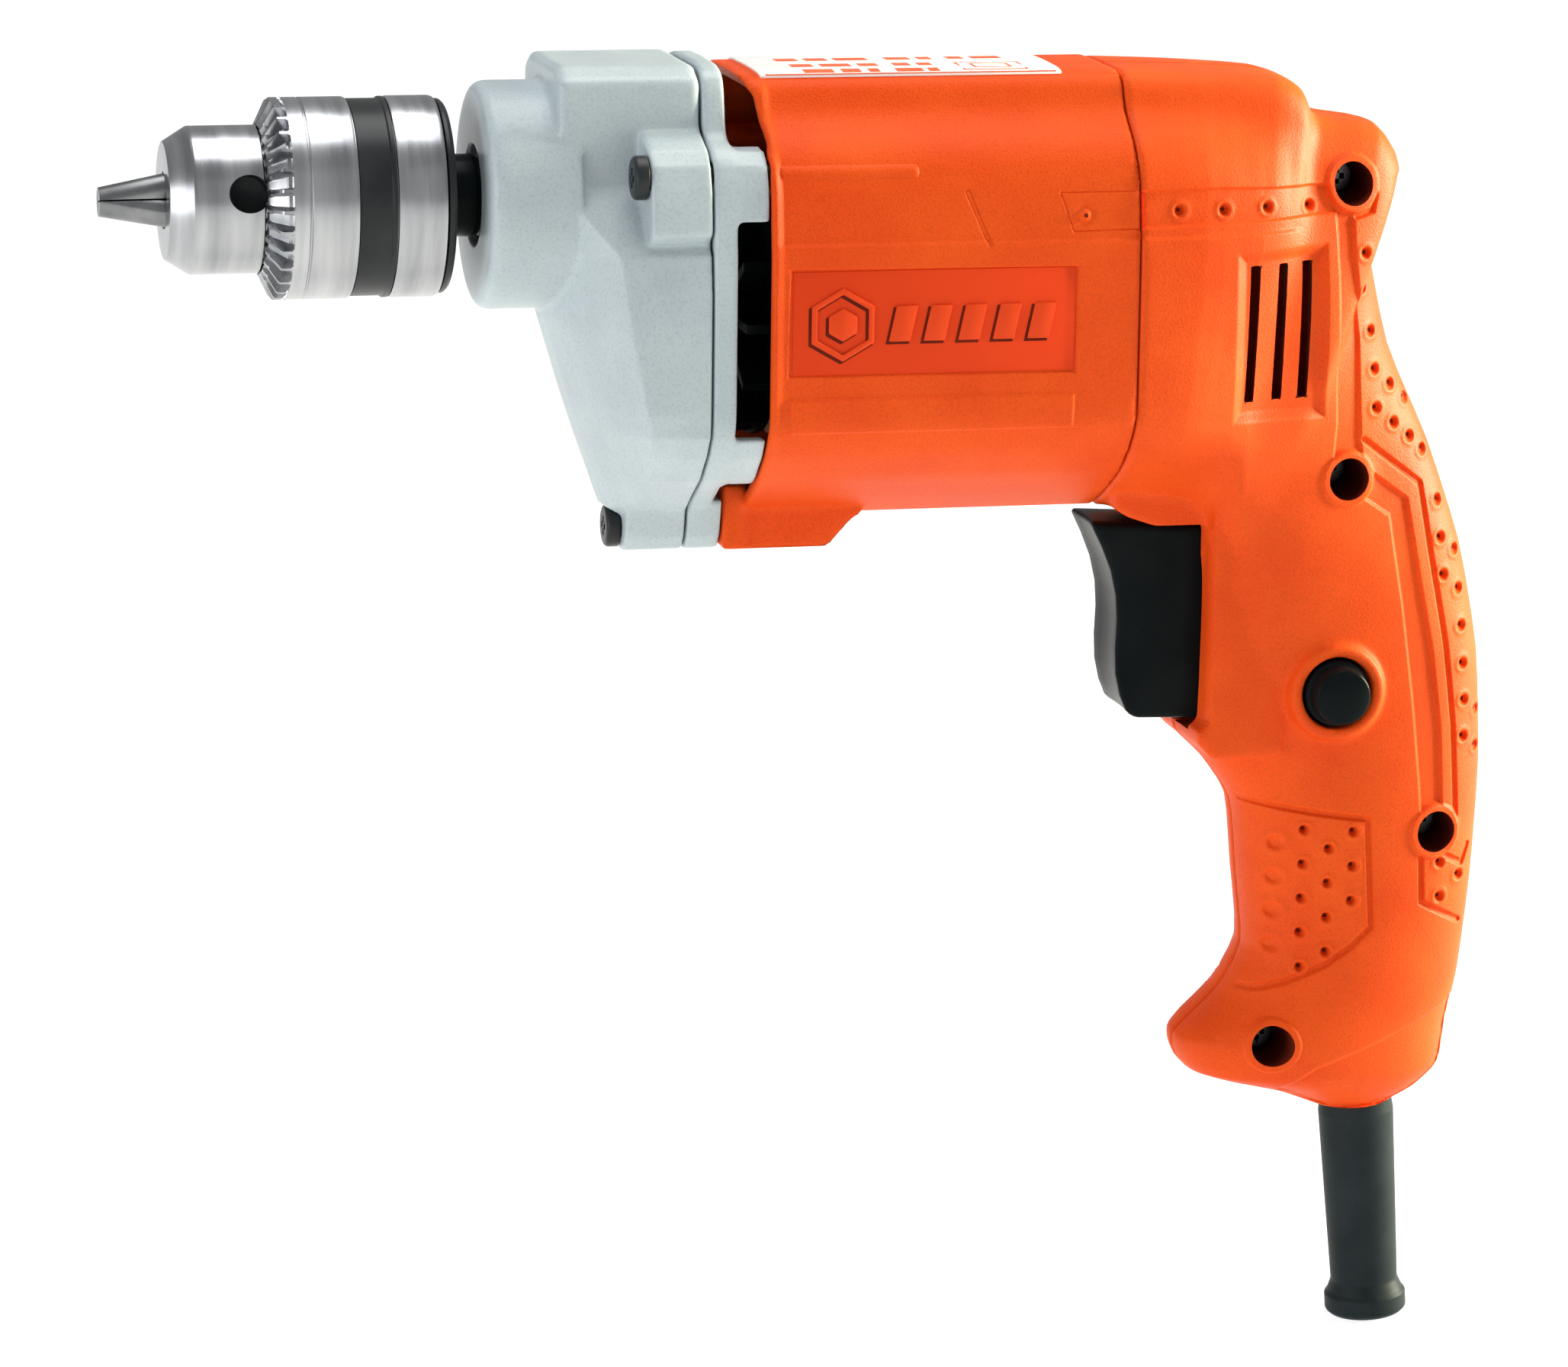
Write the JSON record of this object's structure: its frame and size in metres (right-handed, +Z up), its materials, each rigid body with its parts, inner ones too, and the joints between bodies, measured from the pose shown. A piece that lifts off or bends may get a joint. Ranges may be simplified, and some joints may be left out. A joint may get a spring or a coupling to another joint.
{
  "type": "power drill",
  "caption": "Corded pistol-grip drill with a keyed three-jaw chuck, a grey cast gear case, an orange shell, a trigger, a lock-on button and a rubber cord sleeve.",
  "frame": {"origin": "under the middle of the drill, level with the lowest point of the cord sleeve", "axes": "+X back along the spindle from chuck to handle, +Y to the right of whoever holds the drill, +Z up"},
  "size_m": [0.2602, 0.062, 0.2453],
  "materials": {
    "steel": "turned, satin",
    "cast_grey": "satin, fine speckle",
    "orange_plastic": "fine grain",
    "black_plastic": "satin",
    "black_steel": "black oxide",
    "rubber": "matte",
    "copper": "enamelled wire",
    "lamination": "stacked sheet",
    "carbon": "matte",
    "label": "printed foil, blank"
  },
  "bodies": {
    "drill_body": {"spindle_bearing": "steel", "spindle_bush": "copper", "gear_case": "cast_grey", "mid_cover": "cast_grey", "case_screw_near": "black_steel", "case_screw_far": "black_steel", "case_screw_bottom": "black_steel", "motor_housing": "orange_plastic", "name_plate": "label", "front_bearing": "steel", "rear_bearing": "steel", "bearing_boot": "rubber", "stator": "lamination", "field_coil_upper": "copper", "field_coil_lower": "copper", "brush_holder_left": "black_plastic", "brush_left": "carbon", "brush_spring_left": "steel", "brush_holder_right": "black_plastic", "brush_right": "carbon", "brush_spring_right": "steel", "handle_left": "orange_plastic", "handle_right": "orange_plastic", "switch_body": "black_plastic", "handle_screw_1": "steel", "handle_screw_2": "steel", "handle_screw_3": "steel", "handle_screw_4": "steel", "capacitor": "label", "cord_clamp": "black_plastic", "clamp_screw_1": "steel", "clamp_screw_2": "steel", "cord_sleeve": "rubber"},
    "spindle": {"spindle": "steel", "spindle_collar": "black_plastic", "spindle_gear": "steel", "chuck_body": "steel", "chuck_screw": "steel", "chuck_rear_ring": "black_steel"},
    "chuck_sleeve": {"chuck_sleeve": "steel", "chuck_grip_band": "black_steel", "chuck_nut": "steel"},
    "jaw_1": {"jaw_1": "steel"},
    "jaw_2": {"jaw_2": "steel"},
    "jaw_3": {"jaw_3": "steel"},
    "armature": {"armature_shaft": "steel", "armature_core": "lamination", "winding_front": "copper", "winding_rear": "copper", "commutator": "copper", "fan": "black_plastic"},
    "trigger": {"trigger": "black_plastic"},
    "lock_button": {"lock_button": "black_plastic"}
  },
  "joints": [
    {"name": "spindle_spin", "type": "hinge", "parent": "drill_body", "child": "spindle", "pos_m": [-0.06285, 0, 0.2208], "axis": [1, 0, 0], "continuous": true},
    {"name": "armature_spin", "type": "hinge", "parent": "drill_body", "child": "armature", "pos_m": [0.01715, 0, 0.19875], "axis": [1, 0, 0], "continuous": true},
    {"name": "sleeve_turn", "type": "hinge", "parent": "spindle", "child": "chuck_sleeve", "pos_m": [-0.08785, 0, 0.2208], "axis": [1, 0, 0], "range_deg": [0, 5400]},
    {"name": "jaw_1_slide", "type": "slide", "parent": "spindle", "child": "jaw_1", "axis": [0.9767, -0.1437, -0.1596], "range_m": [0, 0.0233]},
    {"name": "jaw_2_slide", "type": "slide", "parent": "spindle", "child": "jaw_2", "axis": [0.9767, 0.21, -0.0446], "range_m": [0, 0.0233]},
    {"name": "jaw_3_slide", "type": "slide", "parent": "spindle", "child": "jaw_3", "axis": [0.9767, -0.0664, 0.2042], "range_m": [0, 0.0233]},
    {"name": "trigger_pull", "type": "slide", "parent": "drill_body", "child": "trigger", "axis": [1, 0, 0], "range_m": [0, 0.0065], "stiffness_N_per_m": 900, "springref_m": -0.003},
    {"name": "lock_press", "type": "slide", "parent": "drill_body", "child": "lock_button", "axis": [0, 1, 0], "range_m": [0, 0.003], "stiffness_N_per_m": 700, "springref_m": -0.002}
  ],
  "couplings": [
    {"joint": "armature_spin", "follows": "spindle_spin", "ratio": -8},
    {"joint": "jaw_1_slide", "follows": "sleeve_turn", "m_per_rad": 0.00024722},
    {"joint": "jaw_2_slide", "follows": "sleeve_turn", "m_per_rad": 0.00024722},
    {"joint": "jaw_3_slide", "follows": "sleeve_turn", "m_per_rad": 0.00024722}
  ]
}
